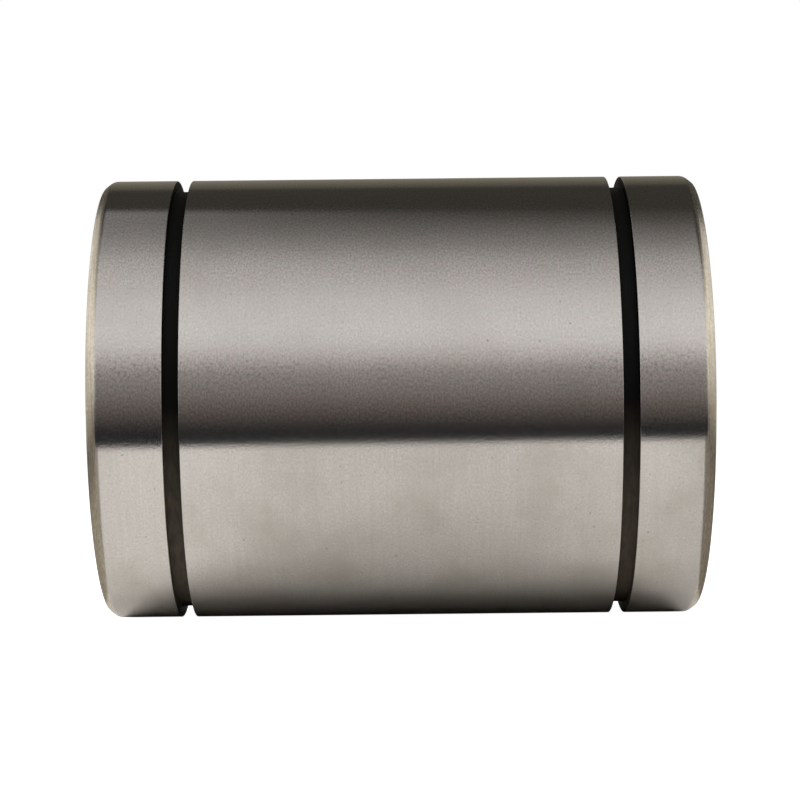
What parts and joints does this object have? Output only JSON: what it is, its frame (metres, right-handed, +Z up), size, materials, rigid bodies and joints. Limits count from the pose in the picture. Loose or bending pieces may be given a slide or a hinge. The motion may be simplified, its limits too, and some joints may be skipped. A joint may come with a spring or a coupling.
{
  "type": "linear ball bushing",
  "caption": "Closed linear ball bushing: a ground steel sleeve with two retaining-ring grooves holds a caged set of recirculating balls and end seals, and slides along a round shaft.",
  "frame": {"origin": "middle of the bore, halfway along its length", "axes": "+X along the shaft axis, +Z up, with one ball circuit's loaded row at the top of the bore"},
  "size_m": [0.08, 0.06, 0.06],
  "materials": {
    "ground_steel": "ground, lightly oiled",
    "ball_steel": "lapped and polished",
    "ring_steel": "pressed, bare",
    "spring_steel": "dark oiled spring steel",
    "cage_plastic": "moulded acetal, satin",
    "seal_rubber": "moulded nitrile, satin"
  },
  "bodies": {
    "sleeve_assembly": {"outer_sleeve": "ground_steel", "ball_cage": "cage_plastic", "side_ring_left": "ring_steel", "seal_insert_left": "ring_steel", "seal_lip_left": "seal_rubber", "snap_ring_left": "spring_steel", "side_ring_right": "ring_steel", "seal_insert_right": "ring_steel", "seal_lip_right": "seal_rubber", "snap_ring_right": "spring_steel"},
    "circuit_1_loaded": {"loaded_balls_1": "ball_steel"},
    "circuit_1_return": {"return_balls_1": "ball_steel"},
    "circuit_1_turn_left": {"turn_ball_1_left_a": "ball_steel", "turn_ball_1_left_b": "ball_steel"},
    "circuit_1_turn_right": {"turn_ball_1_right_a": "ball_steel", "turn_ball_1_right_b": "ball_steel"},
    "circuit_2_loaded": {"loaded_balls_2": "ball_steel"},
    "circuit_2_return": {"return_balls_2": "ball_steel"},
    "circuit_2_turn_left": {"turn_ball_2_left_a": "ball_steel", "turn_ball_2_left_b": "ball_steel"},
    "circuit_2_turn_right": {"turn_ball_2_right_a": "ball_steel", "turn_ball_2_right_b": "ball_steel"},
    "circuit_3_loaded": {"loaded_balls_3": "ball_steel"},
    "circuit_3_return": {"return_balls_3": "ball_steel"},
    "circuit_3_turn_left": {"turn_ball_3_left_a": "ball_steel", "turn_ball_3_left_b": "ball_steel"},
    "circuit_3_turn_right": {"turn_ball_3_right_a": "ball_steel", "turn_ball_3_right_b": "ball_steel"},
    "circuit_4_loaded": {"loaded_balls_4": "ball_steel"},
    "circuit_4_return": {"return_balls_4": "ball_steel"},
    "circuit_4_turn_left": {"turn_ball_4_left_a": "ball_steel", "turn_ball_4_left_b": "ball_steel"},
    "circuit_4_turn_right": {"turn_ball_4_right_a": "ball_steel", "turn_ball_4_right_b": "ball_steel"},
    "circuit_5_loaded": {"loaded_balls_5": "ball_steel"},
    "circuit_5_return": {"return_balls_5": "ball_steel"},
    "circuit_5_turn_left": {"turn_ball_5_left_a": "ball_steel", "turn_ball_5_left_b": "ball_steel"},
    "circuit_5_turn_right": {"turn_ball_5_right_a": "ball_steel", "turn_ball_5_right_b": "ball_steel"},
    "circuit_6_loaded": {"loaded_balls_6": "ball_steel"},
    "circuit_6_return": {"return_balls_6": "ball_steel"},
    "circuit_6_turn_left": {"turn_ball_6_left_a": "ball_steel", "turn_ball_6_left_b": "ball_steel"},
    "circuit_6_turn_right": {"turn_ball_6_right_a": "ball_steel", "turn_ball_6_right_b": "ball_steel"}
  },
  "joints": [
    {"name": "circuit_1_loaded_slide", "type": "slide", "parent": "sleeve_assembly", "child": "circuit_1_loaded", "axis": [1, 0, 0], "range_m": [-0.0028, 0.0028]},
    {"name": "circuit_1_return_slide", "type": "slide", "parent": "sleeve_assembly", "child": "circuit_1_return", "axis": [1, 0, 0], "range_m": [-0.0028, 0.0028]},
    {"name": "circuit_1_turn_left_hinge", "type": "hinge", "parent": "sleeve_assembly", "child": "circuit_1_turn_left", "pos_m": [-0.0252, 0.00396, 0.02278], "axis": [0, 0, 1], "range_deg": [-45.01, 45.01]},
    {"name": "circuit_1_turn_right_hinge", "type": "hinge", "parent": "sleeve_assembly", "child": "circuit_1_turn_right", "pos_m": [0.0252, 0.00396, 0.02278], "axis": [0, 0, 1], "range_deg": [-45.01, 45.01]},
    {"name": "circuit_2_loaded_slide", "type": "slide", "parent": "sleeve_assembly", "child": "circuit_2_loaded", "axis": [1, 0, 0], "range_m": [-0.0028, 0.0028]},
    {"name": "circuit_2_return_slide", "type": "slide", "parent": "sleeve_assembly", "child": "circuit_2_return", "axis": [1, 0, 0], "range_m": [-0.0028, 0.0028]},
    {"name": "circuit_2_turn_left_hinge", "type": "hinge", "parent": "sleeve_assembly", "child": "circuit_2_turn_left", "pos_m": [-0.0252, -0.01775, 0.01482], "axis": [0, -0.866, 0.5], "range_deg": [-45.01, 45.01]},
    {"name": "circuit_2_turn_right_hinge", "type": "hinge", "parent": "sleeve_assembly", "child": "circuit_2_turn_right", "pos_m": [0.0252, -0.01775, 0.01482], "axis": [0, -0.866, 0.5], "range_deg": [-45.01, 45.01]},
    {"name": "circuit_3_loaded_slide", "type": "slide", "parent": "sleeve_assembly", "child": "circuit_3_loaded", "axis": [1, 0, 0], "range_m": [-0.0028, 0.0028]},
    {"name": "circuit_3_return_slide", "type": "slide", "parent": "sleeve_assembly", "child": "circuit_3_return", "axis": [1, 0, 0], "range_m": [-0.0028, 0.0028]},
    {"name": "circuit_3_turn_left_hinge", "type": "hinge", "parent": "sleeve_assembly", "child": "circuit_3_turn_left", "pos_m": [-0.0252, -0.02171, -0.00796], "axis": [0, -0.866, -0.5], "range_deg": [-45.01, 45.01]},
    {"name": "circuit_3_turn_right_hinge", "type": "hinge", "parent": "sleeve_assembly", "child": "circuit_3_turn_right", "pos_m": [0.0252, -0.02171, -0.00796], "axis": [0, -0.866, -0.5], "range_deg": [-45.01, 45.01]},
    {"name": "circuit_4_loaded_slide", "type": "slide", "parent": "sleeve_assembly", "child": "circuit_4_loaded", "axis": [1, 0, 0], "range_m": [-0.0028, 0.0028]},
    {"name": "circuit_4_return_slide", "type": "slide", "parent": "sleeve_assembly", "child": "circuit_4_return", "axis": [1, 0, 0], "range_m": [-0.0028, 0.0028]},
    {"name": "circuit_4_turn_left_hinge", "type": "hinge", "parent": "sleeve_assembly", "child": "circuit_4_turn_left", "pos_m": [-0.0252, -0.00396, -0.02278], "axis": [0, 0, -1], "range_deg": [-45.01, 45.01]},
    {"name": "circuit_4_turn_right_hinge", "type": "hinge", "parent": "sleeve_assembly", "child": "circuit_4_turn_right", "pos_m": [0.0252, -0.00396, -0.02278], "axis": [0, 0, -1], "range_deg": [-45.01, 45.01]},
    {"name": "circuit_5_loaded_slide", "type": "slide", "parent": "sleeve_assembly", "child": "circuit_5_loaded", "axis": [1, 0, 0], "range_m": [-0.0028, 0.0028]},
    {"name": "circuit_5_return_slide", "type": "slide", "parent": "sleeve_assembly", "child": "circuit_5_return", "axis": [1, 0, 0], "range_m": [-0.0028, 0.0028]},
    {"name": "circuit_5_turn_left_hinge", "type": "hinge", "parent": "sleeve_assembly", "child": "circuit_5_turn_left", "pos_m": [-0.0252, 0.01775, -0.01482], "axis": [0, 0.866, -0.5], "range_deg": [-45.01, 45.01]},
    {"name": "circuit_5_turn_right_hinge", "type": "hinge", "parent": "sleeve_assembly", "child": "circuit_5_turn_right", "pos_m": [0.0252, 0.01775, -0.01482], "axis": [0, 0.866, -0.5], "range_deg": [-45.01, 45.01]},
    {"name": "circuit_6_loaded_slide", "type": "slide", "parent": "sleeve_assembly", "child": "circuit_6_loaded", "axis": [1, 0, 0], "range_m": [-0.0028, 0.0028]},
    {"name": "circuit_6_return_slide", "type": "slide", "parent": "sleeve_assembly", "child": "circuit_6_return", "axis": [1, 0, 0], "range_m": [-0.0028, 0.0028]},
    {"name": "circuit_6_turn_left_hinge", "type": "hinge", "parent": "sleeve_assembly", "child": "circuit_6_turn_left", "pos_m": [-0.0252, 0.02171, 0.00796], "axis": [0, 0.866, 0.5], "range_deg": [-45.01, 45.01]},
    {"name": "circuit_6_turn_right_hinge", "type": "hinge", "parent": "sleeve_assembly", "child": "circuit_6_turn_right", "pos_m": [0.0252, 0.02171, 0.00796], "axis": [0, 0.866, 0.5], "range_deg": [-45.01, 45.01]}
  ],
  "couplings": [
    {"joint": "circuit_1_return_slide", "follows": "circuit_1_loaded_slide", "ratio": -1},
    {"joint": "circuit_1_turn_left_hinge", "follows": "circuit_1_loaded_slide", "rad_per_m": 280.5},
    {"joint": "circuit_1_turn_right_hinge", "follows": "circuit_1_loaded_slide", "rad_per_m": 280.5},
    {"joint": "circuit_2_return_slide", "follows": "circuit_2_loaded_slide", "ratio": -1},
    {"joint": "circuit_2_turn_left_hinge", "follows": "circuit_2_loaded_slide", "rad_per_m": 280.5},
    {"joint": "circuit_2_turn_right_hinge", "follows": "circuit_2_loaded_slide", "rad_per_m": 280.5},
    {"joint": "circuit_3_return_slide", "follows": "circuit_3_loaded_slide", "ratio": -1},
    {"joint": "circuit_3_turn_left_hinge", "follows": "circuit_3_loaded_slide", "rad_per_m": 280.5},
    {"joint": "circuit_3_turn_right_hinge", "follows": "circuit_3_loaded_slide", "rad_per_m": 280.5},
    {"joint": "circuit_4_return_slide", "follows": "circuit_4_loaded_slide", "ratio": -1},
    {"joint": "circuit_4_turn_left_hinge", "follows": "circuit_4_loaded_slide", "rad_per_m": 280.5},
    {"joint": "circuit_4_turn_right_hinge", "follows": "circuit_4_loaded_slide", "rad_per_m": 280.5},
    {"joint": "circuit_5_return_slide", "follows": "circuit_5_loaded_slide", "ratio": -1},
    {"joint": "circuit_5_turn_left_hinge", "follows": "circuit_5_loaded_slide", "rad_per_m": 280.5},
    {"joint": "circuit_5_turn_right_hinge", "follows": "circuit_5_loaded_slide", "rad_per_m": 280.5},
    {"joint": "circuit_6_return_slide", "follows": "circuit_6_loaded_slide", "ratio": -1},
    {"joint": "circuit_6_turn_left_hinge", "follows": "circuit_6_loaded_slide", "rad_per_m": 280.5},
    {"joint": "circuit_6_turn_right_hinge", "follows": "circuit_6_loaded_slide", "rad_per_m": 280.5}
  ]
}
